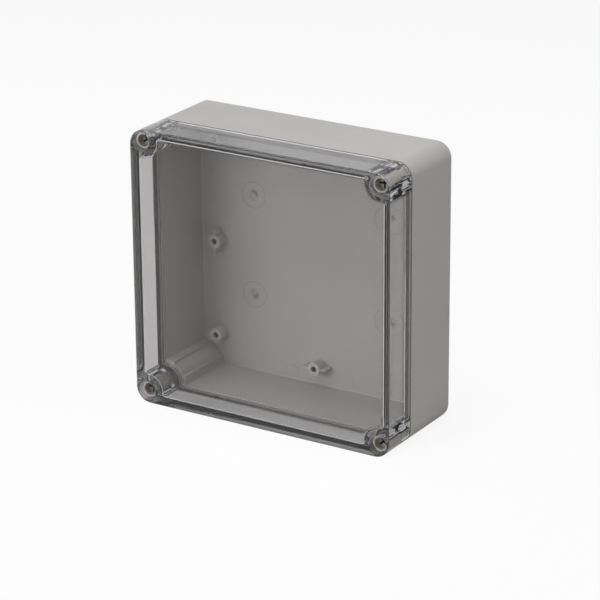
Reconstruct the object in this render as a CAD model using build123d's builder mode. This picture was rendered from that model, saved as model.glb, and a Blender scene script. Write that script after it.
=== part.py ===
from build123d import *
from math import asin, degrees, sqrt
import os

# Clear-lid polycarbonate enclosure, standing on its lower side with the lid towards -Y.
# Millimetres, +Z up, origin at the middle of the lower side. Depths are measured
# from the front of the lid towards the back (+Y).

# Outside
width = 182.0
height = 178.0
lid_depth = 25.0
base_depth = 50.0
corner_radius = 10.0
front_edge_round = 0.5
base_rim_round = 1.0
back_edge_round = 3.0
joint_gap = 0.1

# Seal line: it follows the sides and passes inside the screw columns
seal_inset = 1.9
seal_radius = 6.8
seal_bend = 5.1
groove_width = 1.4
groove_depth = 5.4
lip_width = 2.2
gasket_height = 4.4
gasket_side_play = 0.05
tongue_width = 1.0
tongue_side_play = 0.2

# Lid
front_plate = 3.0
lid_inner_round = 1.8

# Base
back_plate = 3.0
mouth_wall = 3.1
mouth_step = 0.6
mouth_step_depth = 4.5
wall_draft = 1.0
column_rib_reach = 10.6
column_rib_half = 2.2
column_rib_start = 3.5
column_rib_root = 1.0
floor_round = 1.2

# Lid screws, captive in the lid
screw_inset = 7.8
mouth_bore_radius = 6.2
mouth_bore_taper = 20.0
screw_recess = 3.0
head_radius = 4.85
head_length = 14.0
socket_radius = 3.9
socket_depth = 4.5
cross_width = 1.2
cross_length = 7.0
cross_depth = 2.0
neck_radius = 2.9
thread_radius = 3.3
thread_start = 2.0
thread_length = 12.0
tip_chamfer = 0.8
screw_play = 0.15
pilot_play = 0.1
pilot_extra_depth = 2.0

# Fixing bosses on the floor of the base, for self-tapping screws
boss_radius = 4.3
boss_hole_radius = 2.0
boss_height = 8.0
boss_hole_depth = 7.5
corner_boss_x = 73.0
corner_boss_z = 63.0
middle_boss_z = 71.5
wing_thickness = 1.1
side_wing_reach = 3.2
middle_wing_reach = 4.0
wing_drop = 0.4

# Drill marks on the floor, for wall fixings
mark_x = 48.0
mark_z = 33.0
mark_radius = 3.8
mark_depth = 1.4
mark_taper = 58.0

# Worked out
total_depth = lid_depth + base_depth
floor_depth = total_depth - back_plate
screw_x = width / 2 - screw_inset
screw_z = height / 2 - screw_inset
head_seat = screw_recess + head_length
socket_floor = screw_recess + socket_depth
thread_from = lid_depth + thread_start
screw_tip = thread_from + thread_length
groove_half = groove_width / 2
gasket_half = groove_half - gasket_side_play
lid_inside = groove_half + lip_width
mouth_inside = mouth_wall - seal_inset
base_inside = mouth_inside + mouth_step
tongue_outside = tongue_side_play - groove_half
tongue_height = groove_depth - gasket_height
rib_width = column_rib_half + screw_inset - column_rib_root
rib_centre_x = width / 2 - column_rib_root - rib_width / 2
rib_centre_z = height / 2 - column_rib_root - rib_width / 2

corner_signs = {"top_left": (-1, 1), "top_right": (1, 1), "bottom_left": (-1, -1), "bottom_right": (1, -1)}
corner_bosses = [(side_x * corner_boss_x, side_z * corner_boss_z) for side_x, side_z in corner_signs.values()]
side_bosses = [(-corner_boss_x, 0), (corner_boss_x, 0)]
middle_bosses = [(0, middle_boss_z), (0, -middle_boss_z)]
all_bosses = corner_bosses + side_bosses + middle_bosses
rest_turns = {"top_left": 40.0, "top_right": 4.0, "bottom_left": -3.0, "bottom_right": 44.0}


def face_plane(depth, x=0.0, z=0.0):
    # Plane that looks to the front, at a depth, centred on the enclosure's sides
    origin = (x, depth - total_depth / 2, height / 2 + z)
    return Plane(origin=origin, x_dir=(1, 0, 0), z_dir=(0, -1, 0))


def screw_places():
    return GridLocations(2 * screw_x, 2 * screw_z, 2, 2)


def outer_outline():
    with BuildSketch(mode=Mode.PRIVATE) as outline:
        RectangleRounded(width, height, corner_radius)
    return outline.sketch


def seal_outline(inward):
    # Area inside the seal line, with its edge moved inward by a distance. Each corner
    # is an arc round the screw axis, with a bend the other way on either side of it.
    bend_inset = seal_inset + seal_bend
    bend_drop = screw_inset - bend_inset
    bend_span = seal_radius + seal_bend
    bend_reach = sqrt(bend_span**2 - bend_drop**2)
    lean = degrees(asin(bend_drop / bend_span))
    half_x = width / 2 - seal_inset - inward
    half_z = height / 2 - seal_inset - inward
    upper_bend = (screw_x - bend_reach, height / 2 - bend_inset)
    side_bend = (width / 2 - bend_inset, screw_z - bend_reach)
    with BuildSketch(mode=Mode.PRIVATE) as area:
        with BuildLine():
            Line((0, half_z), (upper_bend[0], half_z))
            CenterArc(upper_bend, seal_bend - inward, 90, -90 - lean)
            CenterArc((screw_x, screw_z), seal_radius + inward, 180 - lean, 90 + 2 * lean)
            CenterArc(side_bend, seal_bend - inward, 90 + lean, -90 - lean)
            Line((half_x, side_bend[1]), (half_x, 0))
            mirror(about=Plane.YZ)
            mirror(about=Plane.XZ)
        make_face()
    return area.sketch


# Lid: a deep clear cover with a gasket groove in its rim and solid corners round the screws
with BuildPart() as lid:
    with BuildSketch(face_plane(lid_depth)):
        add(outer_outline())
    extrude(amount=lid_depth)
    fillet(lid.faces().sort_by(Axis.Y)[0].edges(), front_edge_round)
    with BuildSketch(face_plane(lid_depth)):
        add(seal_outline(lid_inside))
    extrude(amount=lid_depth - front_plate, mode=Mode.SUBTRACT)
    fillet(lid.faces().filter_by(Axis.Y).sort_by(Axis.Y)[1].edges(), lid_inner_round)
    with BuildSketch(face_plane(lid_depth)):
        add(seal_outline(-groove_half))
        add(seal_outline(groove_half), mode=Mode.SUBTRACT)
    extrude(amount=groove_depth, mode=Mode.SUBTRACT)
    with BuildSketch(face_plane(0)):
        with screw_places():
            Circle(mouth_bore_radius)
    extrude(amount=-screw_recess, taper=mouth_bore_taper, mode=Mode.SUBTRACT)
    with BuildSketch(face_plane(0)):
        with screw_places():
            Circle(head_radius + screw_play)
    extrude(amount=-head_seat, mode=Mode.SUBTRACT)
    with BuildSketch(face_plane(0)):
        with screw_places():
            Circle(neck_radius + screw_play)
    extrude(amount=-lid_depth, mode=Mode.SUBTRACT)
lid.part.label = "lid"

# Gasket: one closed strip at the bottom of the lid's groove
with BuildPart() as gasket:
    with BuildSketch(face_plane(lid_depth - groove_depth)):
        add(seal_outline(-gasket_half))
        add(seal_outline(gasket_half), mode=Mode.SUBTRACT)
    extrude(amount=-gasket_height)
gasket.part.label = "gasket"

# Base: an open box with drafted walls, screw columns, a sealing tongue and fixing bosses
with BuildPart() as base:
    with BuildSketch(face_plane(total_depth)):
        add(outer_outline())
    extrude(amount=base_depth - joint_gap)
    fillet(base.faces().sort_by(Axis.Y)[0].edges(), base_rim_round)
    fillet(base.faces().sort_by(Axis.Y)[-1].edges(), back_edge_round)
    with BuildSketch(face_plane(lid_depth)):
        add(seal_outline(base_inside))
    extrude(amount=lid_depth - floor_depth, taper=wall_draft, mode=Mode.SUBTRACT)
    fillet(base.faces().filter_by(Axis.Y).sort_by(Axis.Y)[-2].edges(), floor_round)
    with BuildSketch(face_plane(lid_depth)):
        add(seal_outline(mouth_inside))
    extrude(amount=-mouth_step_depth, mode=Mode.SUBTRACT)
    # Tongue on the rim, which presses on the gasket
    with BuildSketch(face_plane(lid_depth + joint_gap)):
        add(seal_outline(tongue_outside))
        add(seal_outline(tongue_outside + tongue_width), mode=Mode.SUBTRACT)
    extrude(amount=tongue_height + joint_gap)
    # Two ribs tie each screw column to its walls
    with BuildSketch(face_plane(floor_depth)):
        for side_x, side_z in corner_signs.values():
            with Locations((side_x * rib_centre_x, side_z * (screw_z - column_rib_reach / 2))):
                Rectangle(rib_width, column_rib_reach)
            with Locations((side_x * (screw_x - column_rib_reach / 2), side_z * rib_centre_z)):
                Rectangle(column_rib_reach, rib_width)
    extrude(amount=floor_depth - lid_depth - column_rib_start)
    # Pilot bores for the lid screws
    with BuildSketch(face_plane(lid_depth)):
        with screw_places():
            Circle(thread_radius + pilot_play)
    extrude(amount=lid_depth - screw_tip - pilot_extra_depth, mode=Mode.SUBTRACT)
    # Bosses: four in the corners, one at the middle of each side with thin wings
    with BuildSketch(face_plane(floor_depth)):
        with Locations(*all_bosses):
            Circle(boss_radius)
    extrude(amount=boss_height)
    with BuildSketch(face_plane(floor_depth)):
        with Locations(*side_bosses):
            Rectangle(wing_thickness, 2 * (boss_radius + side_wing_reach))
        with Locations(*middle_bosses):
            Rectangle(2 * (boss_radius + middle_wing_reach), wing_thickness)
    extrude(amount=boss_height - wing_drop)
    with BuildSketch(face_plane(floor_depth - boss_height)):
        with Locations(*all_bosses):
            Circle(boss_hole_radius)
    extrude(amount=-boss_hole_depth, mode=Mode.SUBTRACT)
    # Drill marks
    with BuildSketch(face_plane(floor_depth)):
        with GridLocations(2 * mark_x, 2 * mark_z, 2, 2):
            Circle(mark_radius)
    extrude(amount=-mark_depth, taper=mark_taper, mode=Mode.SUBTRACT)
base.part.label = "base"


def lid_screw(corner):
    # One captive lid screw: a tubular head with a cross slot deep inside, a neck and a thread
    side_x, side_z = corner_signs[corner]
    place = (side_x * screw_x, side_z * screw_z)
    centre = face_plane(0, *place)
    profile_plane = Plane(origin=centre.origin, x_dir=(0, 1, 0), z_dir=(1, 0, 0))
    with BuildPart() as screw:
        with BuildSketch(profile_plane):
            with BuildLine():
                Polyline(
                    (socket_floor, 0),
                    (socket_floor, socket_radius),
                    (screw_recess, socket_radius),
                    (screw_recess, head_radius),
                    (head_seat, head_radius),
                    (head_seat, neck_radius),
                    (thread_from, neck_radius),
                    (thread_from, thread_radius),
                    (screw_tip - tip_chamfer, thread_radius),
                    (screw_tip, thread_radius - tip_chamfer),
                    (screw_tip, 0),
                    close=True,
                )
            make_face()
        revolve(axis=Axis(centre.origin, (0, 1, 0)))
        with BuildSketch(face_plane(socket_floor, *place)):
            Rectangle(cross_length, cross_width, rotation=rest_turns[corner])
            Rectangle(cross_width, cross_length, rotation=rest_turns[corner])
        extrude(amount=-cross_depth, mode=Mode.SUBTRACT)
    screw.part.label = "lid_screw_" + corner
    return screw.part


pieces = [base.part, lid.part, gasket.part]
pieces += [lid_screw(corner) for corner in corner_signs]

os.makedirs("parts", exist_ok=True)
for piece in pieces:
    export_step(piece, "parts/" + piece.label + ".step")
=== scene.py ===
from math import asin, cos, degrees, pi, radians, sin, sqrt

import bmesh
import bpy
from mathutils import Matrix, Vector


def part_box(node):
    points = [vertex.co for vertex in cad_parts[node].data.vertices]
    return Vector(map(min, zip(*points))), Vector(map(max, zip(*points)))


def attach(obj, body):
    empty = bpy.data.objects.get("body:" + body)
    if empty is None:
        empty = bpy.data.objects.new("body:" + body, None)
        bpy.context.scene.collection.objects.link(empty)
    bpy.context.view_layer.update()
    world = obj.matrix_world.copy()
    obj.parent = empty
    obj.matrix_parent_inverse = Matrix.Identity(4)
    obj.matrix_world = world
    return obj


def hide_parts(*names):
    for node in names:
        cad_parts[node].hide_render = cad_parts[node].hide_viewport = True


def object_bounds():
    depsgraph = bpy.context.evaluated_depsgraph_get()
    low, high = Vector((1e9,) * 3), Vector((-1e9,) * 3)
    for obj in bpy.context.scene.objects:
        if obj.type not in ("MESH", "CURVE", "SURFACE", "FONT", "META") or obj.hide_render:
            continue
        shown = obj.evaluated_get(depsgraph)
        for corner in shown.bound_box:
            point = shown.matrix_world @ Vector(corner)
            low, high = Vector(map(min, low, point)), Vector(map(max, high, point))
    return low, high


# Clear-lid polycarbonate enclosure: smoked lid, light grey base, rubber gasket, captive lid screws.
# Metres, +Z up, the lid towards -Y, standing on the floor.

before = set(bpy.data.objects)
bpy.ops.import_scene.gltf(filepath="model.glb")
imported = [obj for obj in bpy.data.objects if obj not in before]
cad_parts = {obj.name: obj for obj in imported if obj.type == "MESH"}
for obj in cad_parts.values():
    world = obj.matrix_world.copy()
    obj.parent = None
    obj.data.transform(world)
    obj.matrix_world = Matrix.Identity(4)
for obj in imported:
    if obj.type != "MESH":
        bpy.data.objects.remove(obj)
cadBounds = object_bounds()
cadLow, cadHigh = cadBounds
screwLow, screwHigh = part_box("lid_screw_top_right")
middleHeight = (cadLow[2] + cadHigh[2]) / 2
# The upper right screw's axis, measured from the enclosure's middle
cornerScrew = ((screwLow[0] + screwHigh[0]) / 2, (screwLow[2] + screwHigh[2]) / 2 - middleHeight)
print("stage: frame loaded")

softEdge = 0.0001  # width over which a painted mark fades out
contrast = (0.35, 0.65)  # the part of a noise's range that carries a colour from dark to light


# A socket of a shader or Geometry Nodes tree, so that maths can be written as expressions
class Socket:
    def __init__(self, tree, output):
        self.tree = tree
        self.output = output

    def maths(self, operation, left, right=None):
        node = self.tree.nodes.new("ShaderNodeMath")
        node.operation = operation
        for index, value in enumerate((left, right)):
            if isinstance(value, Socket):
                self.tree.links.new(value.output, node.inputs[index])
            elif value is not None:
                node.inputs[index].default_value = value
        return Socket(self.tree, node.outputs[0])

    def __add__(self, other):
        return self.maths("ADD", self, other)

    def __radd__(self, other):
        return self.maths("ADD", other, self)

    def __sub__(self, other):
        return self.maths("SUBTRACT", self, other)

    def __rsub__(self, other):
        return self.maths("SUBTRACT", other, self)

    def __mul__(self, other):
        return self.maths("MULTIPLY", self, other)

    def __rmul__(self, other):
        return self.maths("MULTIPLY", other, self)

    def __truediv__(self, other):
        return self.maths("DIVIDE", self, other)

    def __rtruediv__(self, other):
        return self.maths("DIVIDE", other, self)

    def __mod__(self, other):
        return self.maths("MODULO", self, other)

    def above(self, limit):
        return self.maths("GREATER_THAN", self, limit)

    def atLeast(self, limit):
        return self.maths("MAXIMUM", self, limit)

    def floored(self):
        return self.maths("FLOOR", self)

    def absolute(self):
        return self.maths("ABSOLUTE", self)

    def root(self):
        return self.maths("SQRT", self)

    def cosine(self):
        return self.maths("COSINE", self)

    def sine(self):
        return self.maths("SINE", self)


# Adds nodes to a tree: their settings first, then the values or links of their sockets
class NodeTree:
    def __init__(self, tree):
        self.tree = tree

    def put(self, target, value):
        if isinstance(value, Socket):
            self.tree.links.new(value.output, target)
        elif isinstance(value, list):
            for part in value:
                self.tree.links.new(part.output, target)
        elif target.type == "RGBA" and len(value) == 3:
            target.default_value = (*value, 1)
        else:
            target.default_value = value

    def node(self, kind, settings=None, sockets=None, output=0):
        node = self.tree.nodes.new(kind)
        for key, value in (settings or {}).items():
            if key == "stops":
                for stop, (place, colour) in zip(node.color_ramp.elements, value):
                    stop.position = place
                    stop.color = (*colour, 1)
            else:
                setattr(node, key, value)
        for key, value in (sockets or {}).items():
            self.put(node.inputs[key], value)
        return Socket(self.tree, node.outputs[output])


class Material(NodeTree):
    def __init__(self, name):
        self.material = bpy.data.materials.new(name)
        self.material.use_nodes = True
        super().__init__(self.material.node_tree)
        self.tree.nodes.clear()
        self.exit = self.tree.nodes.new("ShaderNodeOutputMaterial")
        self.place = self.node("ShaderNodeTexCoord", output=3)  # Object coordinates, metres

    def noise(self, scale, detail=2.0, roughness=0.5):
        sockets = {"Vector": self.place, "Scale": scale, "Detail": detail, "Roughness": roughness}
        return self.node("ShaderNodeTexNoise", None, sockets)

    def ramp(self, value, start, full):
        # 0 at start, 1 at full, straight between them and level beyond them; full may be the lower one
        sockets = {"Value": value, "From Min": start, "From Max": full, "To Min": 0.0, "To Max": 1.0}
        return self.node("ShaderNodeMapRange", {"clamp": True}, sockets)

    def under(self, value, limit, fade=softEdge):
        # 1 up to the limit, fading out beyond it
        return self.ramp(value, limit + fade, limit)

    def between(self, value, low, high, fade=softEdge):
        # 1 from low to high, fading out beyond both
        return self.ramp(value, low - fade, low) * self.under(value, high, fade)

    def mix(self, factor, first, second):
        sockets = {0: factor, 6: first, 7: second}
        return self.node("ShaderNodeMix", {"data_type": "RGBA"}, sockets, output=2)

    def bump(self, height, strength, distance):
        sockets = {"Height": height, "Strength": strength, "Distance": distance}
        return self.node("ShaderNodeBump", None, sockets)

    def coordinates(self):
        parts = self.node("ShaderNodeSeparateXYZ", None, {0: self.place}).output.node.outputs
        return [Socket(self.tree, part) for part in parts]

    def fromAxis(self, centre):
        # Distance from the nearest of four axes that run front to back, mirrored about the middle
        x, y, z = self.coordinates()
        offX = x.absolute() - centre[0]
        offZ = (z - middleHeight).absolute() - centre[1]
        return (offX * offX + offZ * offZ).root()

    def finish(self, surface, volume=None):
        self.put(self.exit.inputs["Surface"], surface)
        if volume:
            self.put(self.exit.inputs["Volume"], volume)
        return self.material


# A Geometry Nodes tree with named inputs for its sizes; it ends in Realize Instances and Set Material
class Growth(NodeTree):
    def __init__(self, name, entries):
        tree = bpy.data.node_groups.new(name, "GeometryNodeTree")
        super().__init__(tree)
        tree.interface.new_socket("Geometry", in_out="OUTPUT", socket_type="NodeSocketGeometry")
        tree.interface.new_socket("Geometry", in_out="INPUT", socket_type="NodeSocketGeometry")
        for label, kind in {**entries, "Material": "Material"}.items():
            tree.interface.new_socket(label, in_out="INPUT", socket_type="NodeSocket" + kind)
        self.start = tree.nodes.new("NodeGroupInput")
        self.end = tree.nodes.new("NodeGroupOutput")

    def entry(self, label):
        return Socket(self.tree, self.start.outputs[label])

    def finish(self, geometry):
        real = self.node("GeometryNodeRealizeInstances", None, {"Geometry": geometry})
        dressing = {"Geometry": real, "Material": self.entry("Material")}
        self.put(self.end.inputs["Geometry"], self.node("GeometryNodeSetMaterial", None, dressing))

    def grow(self, name, seed, values):
        # A plain mesh piece, made by this tree from a seed mesh
        piece = newObject(name, seed)
        modifier = piece.modifiers.new(self.tree.name, "NODES")
        modifier.node_group = self.tree
        for item in self.tree.interface.items_tree:
            if item.in_out == "INPUT" and item.name in values:
                modifier[item.identifier] = values[item.name]
        return flatten(piece)


def newObject(name, data):
    made = bpy.data.objects.new(name, data)
    bpy.context.scene.collection.objects.link(made)
    return made


def flatten(piece):
    # Turns the modifiers' result into a plain mesh
    evaluated = piece.evaluated_get(bpy.context.evaluated_depsgraph_get())
    mesh = bpy.data.meshes.new_from_object(evaluated)
    piece.modifiers.clear()
    piece.data = mesh
    return piece


def smoothEdges(piece, sharpAngle):
    piece.data.shade_smooth()
    piece.data.set_sharp_from_angle(angle=radians(sharpAngle))


cameraValues = {
    "place": (0.8849, -1.4090, 0.6999),
    "aim": (0.00744, -0.00194, 0.07419),
    "roll": -0.0072,
    "lens": 174.39,
    "sensor": 36.0,
}


def makeCamera(values):
    data = bpy.data.cameras.new("photoCamera")
    data.lens = values["lens"]
    data.sensor_width = values["sensor"]
    camera = newObject("photoCamera", data)
    look = Vector(values["aim"]) - Vector(values["place"])
    level = look.to_track_quat("-Z", "Y").to_matrix().to_4x4()
    roll = Matrix.Rotation(values["roll"], 4, "Z")
    camera.matrix_world = Matrix.Translation(values["place"]) @ level @ roll
    bpy.context.scene.camera = camera


makeCamera(cameraValues)


studioValues = {
    "floorSize": 12.0,
    "floorDrop": 0.0002,  # keeps the floor clear of the enclosure's lower side
    "floorColour": (0.75, 0.75, 0.75),
    "whiteShare": 0.88,  # the rest is plain paper, which takes the shadow
    "nearFloor": (0.07, 0.095),  # seen through the lid, the floor is plain within the first radius
    "farFloor": 0.82,  # and evenly lit beyond the second one
    "glossFloor": 0.20,  # how white the floor is in gloss
    "roomColour": (0.955, 0.95, 0.98),
    "ambient": 0.15,  # the room's share in the light on matt surfaces
    "glossRoom": (0.25, 0.80),  # what gloss sees of the room in front, and behind and above
    "clearRoom": (0.70, 0.85),  # the same for rays that have passed through the lid
    "roomTurn": (2.0, 1.5, 0.3),  # how fast that turns to the back and upwards, from its share at the sides
    "lamps": {
        "key": {"place": (-1.0, -1.72, 0.60), "size": (1.4, 0.9), "power": 23.5},
        "window": {"place": (0.8, -1.6, 1.7), "size": (1.2, 1.2), "power": 5.0},
        "top": {"place": (0.0, -0.25, 2.15), "size": (1.6, 1.3), "power": 37.0},
        "fill": {"place": (2.0, 0.2, 0.8), "size": (1.0, 1.0), "power": 7.2},
    },
    "aim": (0.0, 0.0, 0.09),
}


def rayKinds(recipe):
    # Camera rays, rays that have passed through the lid, and mirrored rays
    rays = recipe.node("ShaderNodeLightPath").output.node.outputs
    seen = Socket(recipe.tree, rays["Is Camera Ray"])
    passed = Socket(recipe.tree, rays["Is Transmission Ray"])
    return seen, passed, Socket(recipe.tree, rays["Is Glossy Ray"]) * (1.0 - passed)


def makeFloor(values):
    half = values["floorSize"] / 2
    drop = -values["floorDrop"]
    corners = [(-half, -half, drop), (half, -half, drop), (half, half, drop), (-half, half, drop)]
    mesh = bpy.data.meshes.new("floor")
    mesh.from_pydata(corners, [], [(0, 1, 2, 3)])
    paper = newObject("floor", mesh)
    recipe = Material("floorPaper")
    seen, passed, mirrored = rayKinds(recipe)
    distance = recipe.node("ShaderNodeVectorMath", {"operation": "LENGTH"}, {0: recipe.place}, output=1)
    away = recipe.ramp(distance, *values["nearFloor"])
    strength = seen + passed * values["farFloor"] + mirrored * values["glossFloor"]
    share = seen * values["whiteShare"] + passed * away + mirrored
    plain = recipe.node("ShaderNodeBsdfDiffuse", None, {"Color": values["floorColour"]})
    white = recipe.node("ShaderNodeEmission", None, {"Color": (1, 1, 1), "Strength": strength})
    surface = recipe.node("ShaderNodeMixShader", None, {0: share, 1: plain, 2: white})
    paper.data.materials.append(recipe.finish(surface))


def makeRoom(values):
    world = bpy.data.worlds.new("studio")
    bpy.context.scene.world = world
    world.use_nodes = True
    recipe = NodeTree(world.node_tree)
    seen, passed, mirrored = rayKinds(recipe)
    direction = recipe.node("ShaderNodeTexCoord")
    parts = recipe.node("ShaderNodeSeparateXYZ", None, {0: direction}).output.node.outputs
    backwards, upwards, start = values["roomTurn"]
    turned = Socket(recipe.tree, parts[1]) * backwards + Socket(recipe.tree, parts[2]) * upwards + start
    bright = recipe.node("ShaderNodeClamp", None, {0: turned})
    strength = seen + (1.0 - seen - passed - mirrored) * values["ambient"]
    for rays, (front, back) in ((mirrored, values["glossRoom"]), (passed, values["clearRoom"])):
        strength = strength + rays * (front + bright * (back - front))
    background = world.node_tree.nodes["Background"]
    background.inputs["Color"].default_value = (*values["roomColour"], 1)
    recipe.put(background.inputs["Strength"], strength)


def makeLamps(values):
    for name, lampValues in values["lamps"].items():
        data = bpy.data.lights.new(name, "AREA")
        data.shape = "RECTANGLE"
        data.size, data.size_y = lampValues["size"]
        data.energy = lampValues["power"]
        lamp = newObject(name, data)
        lamp.visible_transmission = False  # no lamp shows through the lid
        place = Vector(lampValues["place"])
        turn = (Vector(values["aim"]) - place).to_track_quat("-Z", "Y").to_matrix().to_4x4()
        lamp.matrix_world = Matrix.Translation(place) @ turn


makeFloor(studioValues)
makeRoom(studioValues)
makeLamps(studioValues)
bpy.context.scene.view_settings.view_transform = "Standard"
print("stage: camera and studio made")


# Light grey polycarbonate with a fine matt skin
greyValues = {
    "light": (0.418, 0.410, 0.393),
    "dark": (0.378, 0.370, 0.357),
    "clouds": (14.0, 4.0, 0.6),  # noises: scale, detail, roughness
    "grain": (2600.0, 3.0, 0.6),
    "wear": (60.0, 3.0),
    "cloudShare": 0.75,
    "grainBump": (0.04, 0.00008),
    "speck": (0.12, 0.11, 0.10),
    "speckScale": 250.0,
    "speckLimit": 0.93,  # the share of cells that hold no speck
    "speckSize": (0.09, 0.054),
    "roughness": (0.42, 0.54),
    "sheen": 0.3,
    "outline": (0.091, 0.089, 0.010),  # half width, half height and corner radius of the base
    "rimDepth": -0.0125,  # where the base meets the lid
    "rimEdge": (0.0014, 0.00098),  # painted shade on the rim's outer edge, where the joint's shadow falls: where that starts and is full
    "rimShade": 0.65,
    "rimSkin": 0.0002,
    "rimShadedTone": (0.33, 0.33, 0.33),  # painted shade on the rim's face: darker at the sides and the bottom
    "rimLitTone": (0.62, 0.62, 0.62),  # and painted light on it, paler at the top, where the lid leads light down to it
    # heights over which the rim's painted shade turns to painted light
    "rimLightSplit": (0.1695, 0.1725),
    "bosses": [(0.073, 0.063), (0.073, 0.0), (0.0, 0.0715)],  # from the middle of the floor
    "bossReach": 0.0086,  # painted light: the bosses and their wings are painted paler than the floor, lifting their shaded sides
    "bossFade": 0.0002,
    "bossDepths": (0.0263, 0.0338),
    "bossLightTone": (0.62, 0.61, 0.59),
    "bossLightShare": 0.28,
    "holeReach": 0.00205,
    "holeDepths": (0.0267, 0.0295),  # where the painted shade in the pilot holes starts and is full
    "holeEnd": 0.0352,  # between the holes' ends and the base's back
    "holeShade": 0.85,
    "mark": (0.0476, 0.0338),  # drill marks: painted shade in a pit with a painted highlight as a pale dot, and painted shade on a fine ring round it
    "markReach": (0.0012, 0.0019),  # radius, and the fade beyond it
    "markShade": 0.48,
    "markHighlight": (0.0489, 0.0320),
    "markHighlightReach": (0.0012, 0.0009),
    "ring": (0.048, 0.033),
    "ringReach": 0.0085,
    "ringLine": (0.00015, 0.00015),
    "ringShade": 0.26,
    "floorDepths": (0.0342, 0.0363),  # the marks stay on the floor of the base
    "floorFade": 0.0002,
}


def rimShade(recipe, values):
    # Painted shade on the base's outer edge next to the lid, where the joint's shadow falls
    halfWidth, halfHeight, corner = values["outline"]
    x, y, z = recipe.coordinates()
    outX = (x.absolute() - (halfWidth - corner)).atLeast(0.0)
    outZ = ((z - halfHeight).absolute() - (halfHeight - corner)).atLeast(0.0)
    reach = (outX * outX + outZ * outZ).root()
    start, full = values["rimEdge"]
    nearSide = recipe.ramp(reach, corner - start, corner - full)
    nearLid = recipe.ramp(y, values["rimDepth"] + start, values["rimDepth"] + full)
    return nearSide * nearLid * values["rimShade"]


def paintRimLight(recipe, values, colour):
    # Painted light and shade on the rim's front face and the tongue: paler at the top, darker at the sides
    # and the bottom
    depth, height = recipe.coordinates()[1:]
    tone = recipe.mix(recipe.ramp(height, *values["rimLightSplit"]), values["rimShadedTone"], values["rimLitTone"])
    return recipe.mix(recipe.under(depth, values["rimDepth"] + values["rimSkin"]), colour, tone)


def bossShadeAndLightMasks(recipe, values):
    # Masks for painted shade inside the fixing bosses' pilot holes, and for painted light on the bosses and
    # their wings
    depth = recipe.coordinates()[1]
    holes = bosses = 0.0
    for centre in values["bosses"]:
        across = recipe.fromAxis(centre)
        holes = holes + recipe.under(across, values["holeReach"])
        bosses = bosses + recipe.under(across, values["bossReach"], values["bossFade"])
    inHole = recipe.ramp(depth, *values["holeDepths"]) * recipe.under(depth, values["holeEnd"])
    return holes * inHole, bosses * recipe.between(depth, *values["bossDepths"])


def floorShade(recipe, values):
    # Painted shade in the drill marks, with a painted highlight as a pale dot, and painted shade on the
    # rings round them
    depth = recipe.coordinates()[1]
    pitShade = recipe.under(recipe.fromAxis(values["mark"]), *values["markReach"])
    pitShade = pitShade * (1.0 - recipe.under(recipe.fromAxis(values["markHighlight"]), *values["markHighlightReach"]))
    offRing = (recipe.fromAxis(values["ring"]) - values["ringReach"]).absolute()
    rings = recipe.under(offRing, *values["ringLine"])
    onFloor = recipe.between(depth, *values["floorDepths"], values["floorFade"])
    return (pitShade * values["markShade"] + rings * values["ringShade"]) * onFloor


def speckMask(recipe, values):
    cells = {"Vector": recipe.place, "Scale": values["speckScale"]}
    cells = recipe.node("ShaderNodeTexVoronoi", None, cells).output.node.outputs
    chance = recipe.node("ShaderNodeSeparateXYZ", None, {0: Socket(recipe.tree, cells[1])})
    specks = recipe.ramp(Socket(recipe.tree, cells[0]), *values["speckSize"])
    return specks * chance.above(values["speckLimit"])


def greyMaterial(values):
    recipe = Material("baseGrey")
    grain = recipe.noise(*values["grain"])
    share = values["cloudShare"]
    tone = recipe.noise(*values["clouds"]) * share + grain * (1.0 - share)
    colour = recipe.mix(recipe.ramp(tone, *contrast), values["dark"], values["light"])
    colour = recipe.mix(speckMask(recipe, values), colour, values["speck"])
    # Painted light and shade on the rim's face
    colour = paintRimLight(recipe, values, colour)
    holes, bosses = bossShadeAndLightMasks(recipe, values)
    # Painted light, paler, on the bosses and their wings
    colour = recipe.mix(bosses * values["bossLightShare"], colour, values["bossLightTone"])
    # Painted shade: on the rim's edge by the lid, in the drill marks and on the rings, and in the pilot
    # holes
    shade = rimShade(recipe, values) + floorShade(recipe, values) + holes * values["holeShade"]
    low, high = values["roughness"]
    sockets = {
        "Base Color": recipe.mix(shade, colour, (0.0, 0.0, 0.0)),
        "Roughness": low + recipe.noise(*values["wear"]) * (high - low),
        "Specular IOR Level": values["sheen"],
        "Normal": recipe.bump(grain, *values["grainBump"]),
    }
    return recipe.finish(recipe.node("ShaderNodeBsdfPrincipled", None, sockets))


# Smoked clear polycarbonate: polished skin, grey tint by thickness, faint handling marks
clearValues = {
    "ior": 1.586,
    "smoke": (0.80, 0.79, 0.788),
    "tint": (0.66, 0.69, 0.72),
    "density": 20.0,
    "shade": (0.85, 0.85, 0.85),
    "roughness": (0.012, 0.06),
    "marks": (38.0, 6.0, 0.7),  # noises: scale, detail, roughness
    "markRange": (0.60, 0.78),
    "flow": (24.0, 1.0),
    "flowBump": (0.02, 0.0002),
    "frost": 0.55,  # the mouths of the screw bores are left matt by the mould
    "mouthRadius": 0.0064,
    "mouthDepths": (-0.03735, -0.0343),
}


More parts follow.
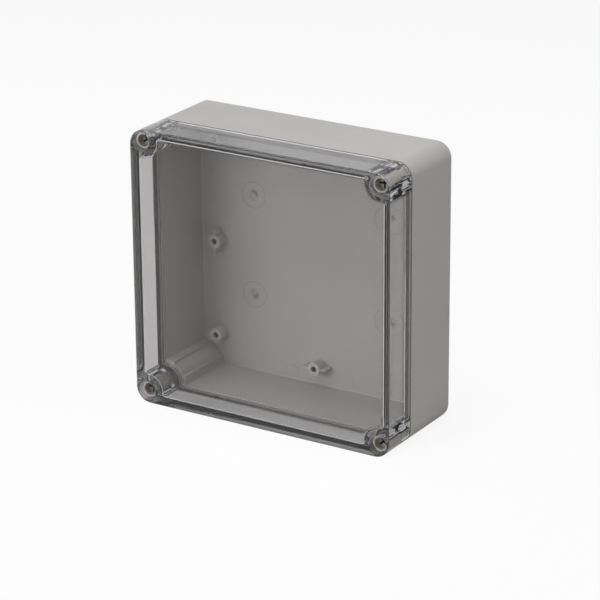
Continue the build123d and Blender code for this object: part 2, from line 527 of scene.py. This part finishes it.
def clearMaterial(values):
    recipe = Material("lidSmokedClear")
    marks = recipe.ramp(recipe.noise(*values["marks"]), *values["markRange"])
    inMouth = recipe.between(recipe.coordinates()[1], *values["mouthDepths"])
    inMouth = inMouth * recipe.under(recipe.fromAxis(cornerScrew), values["mouthRadius"])
    low, high = values["roughness"]
    sockets = {
        "Base Color": values["smoke"],
        "Roughness": low + marks * (high - low) + inMouth * values["frost"],
        "IOR": values["ior"],
        "Transmission Weight": 1.0,
        "Normal": recipe.bump(recipe.noise(*values["flow"]), *values["flowBump"]),
    }
    glass = recipe.node("ShaderNodeBsdfPrincipled", None, sockets)
    through = recipe.node("ShaderNodeBsdfTransparent", None, {"Color": values["shade"]})
    shadow = recipe.node("ShaderNodeLightPath", output=1)  # Is Shadow Ray
    surface = recipe.node("ShaderNodeMixShader", None, {0: shadow, 1: glass, 2: through})
    sockets = {"Color": values["tint"], "Density": values["density"]}
    return recipe.finish(surface, recipe.node("ShaderNodeVolumeAbsorption", None, sockets))


# Cellular rubber: near black, a little brown, with fine pores
rubberValues = {
    "light": (0.032, 0.027, 0.023),
    "dark": (0.012, 0.011, 0.010),
    "poreScale": 2200.0,
    "poreRange": (0.1, 0.6),
    "poreBump": (0.4, 0.0001),
    "roughness": 0.75,
}


def rubberMaterial(values):
    recipe = Material("gasketRubber")
    cells = {"Vector": recipe.place, "Scale": values["poreScale"]}
    pores = recipe.node("ShaderNodeTexVoronoi", None, cells)
    share = recipe.ramp(pores, *values["poreRange"])
    sockets = {
        "Base Color": recipe.mix(share, values["dark"], values["light"]),
        "Roughness": values["roughness"],
        "Normal": recipe.bump(pores, *values["poreBump"]),
    }
    return recipe.finish(recipe.node("ShaderNodeBsdfPrincipled", None, sockets))


# Natural polyamide: beige grey, slightly waxy
beigeValues = {
    "light": (0.37, 0.345, 0.31),
    "dark": (0.29, 0.265, 0.23),
    # painted shade: near black in the cross slot
    "slot": (0.02, 0.018, 0.015),
    "slotReach": 0.0037,  # the cross slot lies within this distance from the axis
    "slotDepths": (-0.0299, -0.0296),  # where its painted shade starts and is full
    "slotEnd": -0.0278,
    "clouds": (420.0, 4.0, 0.6),  # noises: scale, detail, roughness
    "grain": (5200.0, 2.0),
    "grainBump": (0.2, 0.00005),
    "roughness": (0.32, 0.5),
}


def beigeMaterial(values):
    recipe = Material("screwPolyamide")
    clouds = recipe.noise(*values["clouds"])
    colour = recipe.mix(recipe.ramp(clouds, *contrast), values["dark"], values["light"])
    depth = recipe.coordinates()[1]
    # Painted shade in the cross slot
    shadedSlot = recipe.ramp(depth, *values["slotDepths"]) * recipe.under(depth, values["slotEnd"])
    shadedSlot = shadedSlot * recipe.under(recipe.fromAxis(cornerScrew), values["slotReach"])
    low, high = values["roughness"]
    sockets = {
        "Base Color": recipe.mix(shadedSlot, colour, values["slot"]),
        "Roughness": low + clouds * (high - low),
        "Normal": recipe.bump(recipe.noise(*values["grain"]), *values["grainBump"]),
    }
    return recipe.finish(recipe.node("ShaderNodeBsdfPrincipled", None, sockets))


baseGrey = greyMaterial(greyValues)
lidClear = clearMaterial(clearValues)
gasketRubber = rubberMaterial(rubberValues)
screwBeige = beigeMaterial(beigeValues)
nodeMaterials = {"base": baseGrey, "lid": lidClear, "gasket": gasketRubber}
for name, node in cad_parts.items():
    node.data.materials.clear()
    node.data.materials.append(nodeMaterials.get(name, screwBeige))
print("stage: materials made")


# Smooth copies of the two mouldings, with their sharp edges just broken
shellValues = {
    "mergeDistance": 2e-6,
    "flatAngle": 0.4,
    "sharpAngle": 32.0,
    "bevelSegments": 2,
    "smoothAngle": 50.0,
    "shells": {
        "base": {"piece": "baseShell", "slot": "base_grey", "material": baseGrey, "edge": 0.0002},
        "lid": {"piece": "lidShell", "slot": "lid_smoked_clear", "material": lidClear, "edge": 0.00018},
    },
}


def makeShell(nodeName, shell, values):
    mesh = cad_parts[nodeName].data.copy()
    mesh.name = shell["piece"]
    work = bmesh.new()
    work.from_mesh(mesh)
    flat = radians(values["flatAngle"])
    bmesh.ops.remove_doubles(work, verts=work.verts, dist=values["mergeDistance"])
    bmesh.ops.dissolve_limit(work, angle_limit=flat, verts=work.verts, edges=work.edges)
    work.to_mesh(mesh)
    work.free()
    mesh.materials.clear()
    mesh.materials.append(shell["material"])
    piece = newObject(shell["piece"], mesh)
    bevel = piece.modifiers.new("brokenEdges", "BEVEL")
    bevel.width = shell["edge"]
    bevel.segments = values["bevelSegments"]
    bevel.limit_method = "ANGLE"
    bevel.angle_limit = radians(values["sharpAngle"])
    bevel.harden_normals = False
    flatten(piece)
    smoothEdges(piece, values["smoothAngle"])
    weighted = piece.modifiers.new("flatFaces", "WEIGHTED_NORMAL")
    weighted.keep_sharp = True
    flatten(piece)
    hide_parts(nodeName)
    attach(piece, nodeName)
    print("shell", nodeName, len(piece.data.polygons), "faces")


for nodeName, shell in shellValues["shells"].items():
    makeShell(nodeName, shell, shellValues)
print("stage: mouldings smoothed")


# Gasket: a rounded strip swept along the seal line
sealValues = {
    "inset": 0.0019,
    "screwInset": 0.0078,
    "radius": 0.0068,  # of the arcs round the screws
    "bend": 0.0051,  # radius of the bends on either side of them
    "stripWidth": 0.0013,
    "edgeRound": 0.0003,
    "roundSteps": 4,
    "arcSteps": 10,
    "samePoint": 1e-6,
    "smoothAngle": 40.0,
}


def sealLine(values, halfWidth, halfHeight):
    # Closed line round the inside of the screws: an arc round each screw and a bend on either side of it
    bendInset = values["inset"] + values["bend"]
    drop = values["screwInset"] - bendInset
    span = values["radius"] + values["bend"]
    reach = sqrt(span**2 - drop**2)
    lean = degrees(asin(drop / span))
    screw = (halfWidth - values["screwInset"], halfHeight - values["screwInset"])
    arcs = [
        ((screw[0] - reach, halfHeight - bendInset), values["bend"], 90, -90 - lean),
        (screw, values["radius"], 180 - lean, 90 + 2 * lean),
        ((halfWidth - bendInset, screw[1] - reach), values["bend"], 90 + lean, -90 - lean),
    ]
    quarter = []
    for (x, y), radius, start, sweep in arcs:
        steps = values["arcSteps"] * (2 if radius == values["radius"] else 1)
        for step in range(steps + 1):
            angle = radians(start + sweep * step / steps)
            point = (x + radius * cos(angle), y + radius * sin(angle))
            if not quarter or (Vector(point) - Vector(quarter[-1])).length > values["samePoint"]:
                quarter.append(point)
    line = list(quarter)
    line += [(x, -y) for x, y in reversed(quarter)]
    line += [(-x, -y) for x, y in quarter]
    line += [(-x, y) for x, y in reversed(quarter)]
    return line


def edgeMesh(name, points, closed):
    mesh = bpy.data.meshes.new(name)
    count = len(points)
    edges = [(index, (index + 1) % count) for index in range(count if closed else count - 1)]
    mesh.from_pydata([(*point, 0.0) for point in points], edges, [])
    return mesh


frontTurn = (-pi / 2, 0.0, 0.0)  # local Z becomes +Y, the way into the enclosure, and local Y becomes -Z


def sealGrowth():
    entries = {
        "Strip width": "Float",
        "Strip height": "Float",
        "Edge round": "Float",
        "Round steps": "Int",
        "Turn": "Vector",
        "Place": "Vector",
    }
    tree = Growth("sealStrip", entries)
    line = tree.node("GeometryNodeMeshToCurve", None, {"Mesh": tree.entry("Geometry")})
    line = tree.node("GeometryNodeSetCurveNormal", {"mode": "Z_UP"}, {"Curve": line})
    size = {"Width": tree.entry("Strip width"), "Height": tree.entry("Strip height")}
    section = tree.node("GeometryNodeCurvePrimitiveQuadrilateral", None, size)
    rounding = {"Curve": section, "Count": tree.entry("Round steps"), "Radius": tree.entry("Edge round")}
    section = tree.node("GeometryNodeFilletCurve", {"mode": "POLY"}, rounding)
    strip = tree.node("GeometryNodeCurveToMesh", None, {"Curve": line, "Profile Curve": section})
    moved = {"Geometry": strip, "Rotation": tree.entry("Turn"), "Translation": tree.entry("Place")}
    tree.finish(tree.node("GeometryNodeTransform", None, moved))
    return tree


def makeGasket(values):
    low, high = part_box("gasket")
    line = sealLine(values, cadHigh[0], cadHigh[2] - middleHeight)
    sizes = {
        "Strip width": values["stripWidth"],
        "Strip height": high[1] - low[1],
        "Edge round": values["edgeRound"],
        "Round steps": values["roundSteps"],
        "Turn": frontTurn,
        "Place": (0.0, (low[1] + high[1]) / 2, middleHeight),
        "Material": gasketRubber,
    }
    strip = sealGrowth().grow("gasketStrip", edgeMesh("sealLine", line, True), sizes)
    smoothEdges(strip, values["smoothAngle"])
    strip.visible_shadow = False  # the lid leads light round the strip to the rim
    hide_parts("gasket")
    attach(strip, "lid")


makeGasket(sealValues)
print("stage: gasket swept")


# Captive lid screws: a turned half-section, a cut cross and a helical thread
screwValues = {
    "headRadius": 0.00485,
    "headLength": 0.014,
    "socketRadius": 0.0039,
    "socketDepth": 0.0045,
    "crossWidth": 0.0012,
    "crossLength": 0.0070,
    "crossDepth": 0.002,
    "neckRadius": 0.0029,
    "threadFrom": 0.024,
    "threadRadius": 0.0033,
    "threadPitch": 0.003,
    "threadHeight": 0.0006,
    "tipChamfer": 0.0008,
    "edgeRound": 0.00025,
    "segments": 64,
    "threadSteps": 32,
    "mergeDistance": 2e-6,
    "smoothAngle": 40.0,
    "turns": {"top_left": 40.0, "top_right": 4.0, "bottom_left": -3.0, "bottom_right": 44.0},
}


def screwSection(values, length):
    # Half of the screw, cut along its axis: distance from the axis, depth from the head's front
    edge = values["edgeRound"]
    core = values["threadRadius"] - values["threadHeight"] / 2
    return [
        (0.0, values["socketDepth"]),
        (values["socketRadius"] - edge, values["socketDepth"]),
        (values["socketRadius"], values["socketDepth"] - edge),
        (values["socketRadius"], edge),
        (values["socketRadius"] + edge, 0.0),
        (values["headRadius"] - edge, 0.0),
        (values["headRadius"], edge),
        (values["headRadius"], values["headLength"] - edge),
        (values["headRadius"] - edge, values["headLength"]),
        (values["neckRadius"], values["headLength"]),
        (values["neckRadius"], values["threadFrom"]),
        (core, values["threadFrom"]),
        (core, length - values["tipChamfer"]),
        (core - values["tipChamfer"], length),
        (0.0, length),
    ]


def screwGrowth():
    entries = {
        "Section points": "Int",
        "Segments": "Int",
        "Cross width": "Float",
        "Cross length": "Float",
        "Cross depth": "Float",
        "Socket depth": "Float",
        "Cross turn": "Float",
        "Thread radius": "Float",
        "Thread height": "Float",
        "Thread from": "Float",
        "Thread length": "Float",
        "Thread pitch": "Float",
        "Thread steps": "Int",
        "Merge distance": "Float",
        "Turn": "Vector",
        "Place": "Vector",
    }
    tree = Growth("lidScrew", entries)
    # Turned body: a grid whose rows take the section's points and whose columns go round the axis
    around = tree.entry("Segments") + 1.0
    nudge = 0.0001  # keeps a whole row number from being rounded down
    gridSize = {"Vertices X": tree.entry("Section points"), "Vertices Y": around}
    body = tree.node("GeometryNodeMeshGrid", None, gridSize)
    index = tree.node("GeometryNodeInputIndex")
    row = (index / around + nudge).floored()
    angle = (index % around) * (2 * pi) / tree.entry("Segments")
    position = tree.node("GeometryNodeInputPosition")
    sampled = {"Geometry": tree.entry("Geometry"), "Value": position, "Index": row}
    point = tree.node("GeometryNodeSampleIndex", {"data_type": "FLOAT_VECTOR"}, sampled)
    split = tree.node("ShaderNodeSeparateXYZ", None, {0: point}).output.node.outputs
    reach = Socket(tree.tree, split[0])
    depth = Socket(tree.tree, split[1])
    ring = {0: reach * angle.cosine(), 1: reach * angle.sine(), 2: depth}
    turned = {"Geometry": body, "Position": tree.node("ShaderNodeCombineXYZ", None, ring)}
    body = tree.node("GeometryNodeSetPosition", None, turned)
    merging = {"Geometry": body, "Distance": tree.entry("Merge distance")}
    body = tree.node("GeometryNodeMergeByDistance", None, merging)
    # Cross slot in the socket's floor: two bars, which stand half above it
    bars = []
    for across, along in (("Cross length", "Cross width"), ("Cross width", "Cross length")):
        bar = {0: tree.entry(across), 1: tree.entry(along), 2: tree.entry("Cross depth") * 2.0}
        bar = tree.node("ShaderNodeCombineXYZ", None, bar)
        cube = tree.node("GeometryNodeMeshCube", None, {"Size": bar})
        spin = tree.node("ShaderNodeCombineXYZ", None, {2: tree.entry("Cross turn")})
        lift = tree.node("ShaderNodeCombineXYZ", None, {2: tree.entry("Socket depth")})
        placed = {"Geometry": cube, "Rotation": spin, "Translation": lift}
        bars.append(tree.node("GeometryNodeTransform", None, placed))
    cut = {"Mesh 1": body, "Mesh 2": bars}
    body = tree.node("GeometryNodeMeshBoolean", {"operation": "DIFFERENCE"}, cut)
    # Thread: a ridge swept along a helix
    middle = tree.entry("Thread radius") - tree.entry("Thread height")
    rounds = tree.entry("Thread length") / tree.entry("Thread pitch")
    helix = {
        "Resolution": tree.entry("Thread steps"),
        "Rotations": rounds,
        "Start Radius": middle,
        "End Radius": middle,
        "Height": tree.entry("Thread length"),
    }
    helix = tree.node("GeometryNodeCurveSpiral", None, helix)
    helix = tree.node("GeometryNodeSetCurveNormal", {"mode": "Z_UP"}, {"Curve": helix})
    diamond = {"Resolution": 4, "Radius": tree.entry("Thread height")}
    ridge = tree.node("GeometryNodeCurvePrimitiveCircle", None, diamond)
    thread = {"Curve": helix, "Profile Curve": ridge, "Fill Caps": True}
    thread = tree.node("GeometryNodeCurveToMesh", None, thread)
    start = tree.node("ShaderNodeCombineXYZ", None, {2: tree.entry("Thread from")})
    thread = tree.node("GeometryNodeTransform", None, {"Geometry": thread, "Translation": start})
    screw = tree.node("GeometryNodeJoinGeometry", None, {"Geometry": [body, thread]})
    moved = {"Geometry": screw, "Rotation": tree.entry("Turn"), "Translation": tree.entry("Place")}
    tree.finish(tree.node("GeometryNodeTransform", None, moved))
    return tree


def makeScrews(values):
    growth = screwGrowth()
    for corner, turn in values["turns"].items():
        low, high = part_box("lid_screw_" + corner)
        length = high[1] - low[1]
        section = screwSection(values, length)
        ridge = values["threadHeight"]
        sizes = {
            "Section points": len(section),
            "Segments": values["segments"],
            "Cross width": values["crossWidth"],
            "Cross length": values["crossLength"],
            "Cross depth": values["crossDepth"],
            "Socket depth": values["socketDepth"],
            "Cross turn": radians(-turn),
            "Thread radius": values["threadRadius"],
            "Thread height": ridge,
            "Thread from": values["threadFrom"] + ridge,
            "Thread length": length - values["threadFrom"] - values["tipChamfer"] - 2 * ridge,
            "Thread pitch": values["threadPitch"],
            "Thread steps": values["threadSteps"],
            "Merge distance": values["mergeDistance"],
            "Turn": frontTurn,
            "Place": ((low[0] + high[0]) / 2, low[1], (low[2] + high[2]) / 2),
            "Material": screwBeige,
        }
        name = "lidScrew" + corner.title().replace("_", "")
        screw = growth.grow(name, edgeMesh("screwSection", section, False), sizes)
        smoothEdges(screw, values["smoothAngle"])
        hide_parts("lid_screw_" + corner)
        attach(screw, "screw_" + corner)


makeScrews(screwValues)
print("stage: screws turned")


# Witness rings of the mould on the floor of the base: round the drill marks and where ejector pins stood
ringValues = {
    "floorDepth": 0.072,  # from the lid's front
    "rings": [  # across, up and radius, mirrored to all four quarters
        (0.048, 0.033, 0.0085),
        (0.0625, 0.0795, 0.0048),
        (0.0205, 0.0795, 0.0045),
        (0.0795, 0.0245, 0.0046),
    ],
    "line": 0.00016,
    "lineSides": 8,
    "steps": 64,
    "smoothAngle": 60.0,
}


def ringGrowth():
    entries = {
        "Line radius": "Float",
        "Line sides": "Int",
        "Steps": "Int",
        "Turn": "Vector",
        "Place": "Vector",
    }
    tree = Growth("mouldRings", entries)
    unit = {"Resolution": tree.entry("Steps"), "Radius": 1.0}
    circle = tree.node("GeometryNodeCurvePrimitiveCircle", None, unit)
    size = tree.node("GeometryNodeInputNamedAttribute", {"data_type": "FLOAT"}, {"Name": "ringRadius"})
    placed = {"Points": tree.entry("Geometry"), "Instance": circle, "Scale": size}
    circles = tree.node("GeometryNodeInstanceOnPoints", None, placed)
    circles = tree.node("GeometryNodeRealizeInstances", None, {"Geometry": circles})
    thin = {"Resolution": tree.entry("Line sides"), "Radius": tree.entry("Line radius")}
    section = tree.node("GeometryNodeCurvePrimitiveCircle", None, thin)
    lines = tree.node("GeometryNodeCurveToMesh", None, {"Curve": circles, "Profile Curve": section})
    moved = {"Geometry": lines, "Rotation": tree.entry("Turn"), "Translation": tree.entry("Place")}
    tree.finish(tree.node("GeometryNodeTransform", None, moved))
    return tree


def makeRings(values):
    points = []
    for x, y, radius in values["rings"]:
        points += [(signX * x, signY * y, radius) for signX in (-1, 1) for signY in (-1, 1)]
    seed = bpy.data.meshes.new("ringPlaces")
    seed.from_pydata([(x, y, 0.0) for x, y, radius in points], [], [])
    sizes = seed.attributes.new("ringRadius", "FLOAT", "POINT")
    for item, point in zip(sizes.data, points):
        item.value = point[2]
    entries = {
        "Line radius": values["line"],
        "Line sides": values["lineSides"],
        "Steps": values["steps"],
        "Turn": frontTurn,
        "Place": (0.0, cadLow[1] + values["floorDepth"], middleHeight),
        "Material": baseGrey,
    }
    rings = ringGrowth().grow("baseMouldRings", seed, entries)
    smoothEdges(rings, values["smoothAngle"])
    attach(rings, "base")


makeRings(ringValues)
print("stage: mould rings made")
